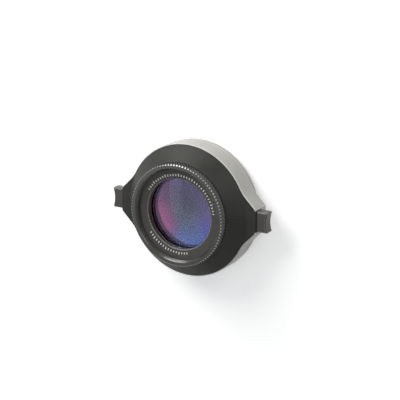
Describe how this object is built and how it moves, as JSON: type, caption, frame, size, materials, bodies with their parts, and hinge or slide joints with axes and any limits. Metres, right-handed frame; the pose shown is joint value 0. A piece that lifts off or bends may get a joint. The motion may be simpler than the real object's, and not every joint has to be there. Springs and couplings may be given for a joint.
{
  "type": "macro conversion lens",
  "caption": "Round close-up lens with a knurled grip and a filter thread, screwed into a conical clip-on adapter with sprung squeeze levers.",
  "frame": {"origin": "bottom centre of the box, on the optical axis, at the height of the claw tips; the lens lies on its back", "axes": "+Z along the optical axis towards the subject, +X through the right squeeze lever seen from the front with +Y up"},
  "size_m": [0.0922, 0.0704, 0.0274],
  "materials": {
    "housing_grey": "satin silver grey",
    "cover_black": "fine matte",
    "rear_grey": "satin silver grey",
    "screw_steel": "zinc plated",
    "jaw_black": "satin",
    "spring_steel": "drawn wire",
    "barrel_black": "black anodised, satin",
    "ring_black": "black anodised, turned",
    "front_glass": "multi-coated",
    "pair_glass": "coated"
  },
  "bodies": {
    "adapter": {"housing": "housing_grey", "front_cover": "cover_black", "rear_cover": "rear_grey", "cover_screws": "screw_steel", "spring_left_top": "spring_steel", "spring_right_top": "spring_steel", "spring_left_low": "spring_steel", "spring_right_low": "spring_steel", "lens_barrel": "barrel_black", "name_ring": "ring_black", "rear_ring": "ring_black", "front_element": "front_glass", "crown_element": "pair_glass", "flint_element": "pair_glass"},
    "right_jaw": {"right_jaw": "jaw_black"},
    "left_jaw": {"left_jaw": "jaw_black"}
  },
  "joints": [
    {"name": "right_squeeze", "type": "slide", "parent": "adapter", "child": "right_jaw", "axis": [1, 0, 0], "range_m": [-0.0039, 0.0045], "stiffness_N_per_m": 500, "springref_m": 0.0105, "deforming": ["spring_right_top", "spring_right_low"]},
    {"name": "left_squeeze", "type": "slide", "parent": "adapter", "child": "left_jaw", "axis": [-1, 0, 0], "range_m": [-0.0039, 0.0045], "stiffness_N_per_m": 500, "springref_m": 0.0105, "deforming": ["spring_left_top", "spring_left_low"]}
  ]
}
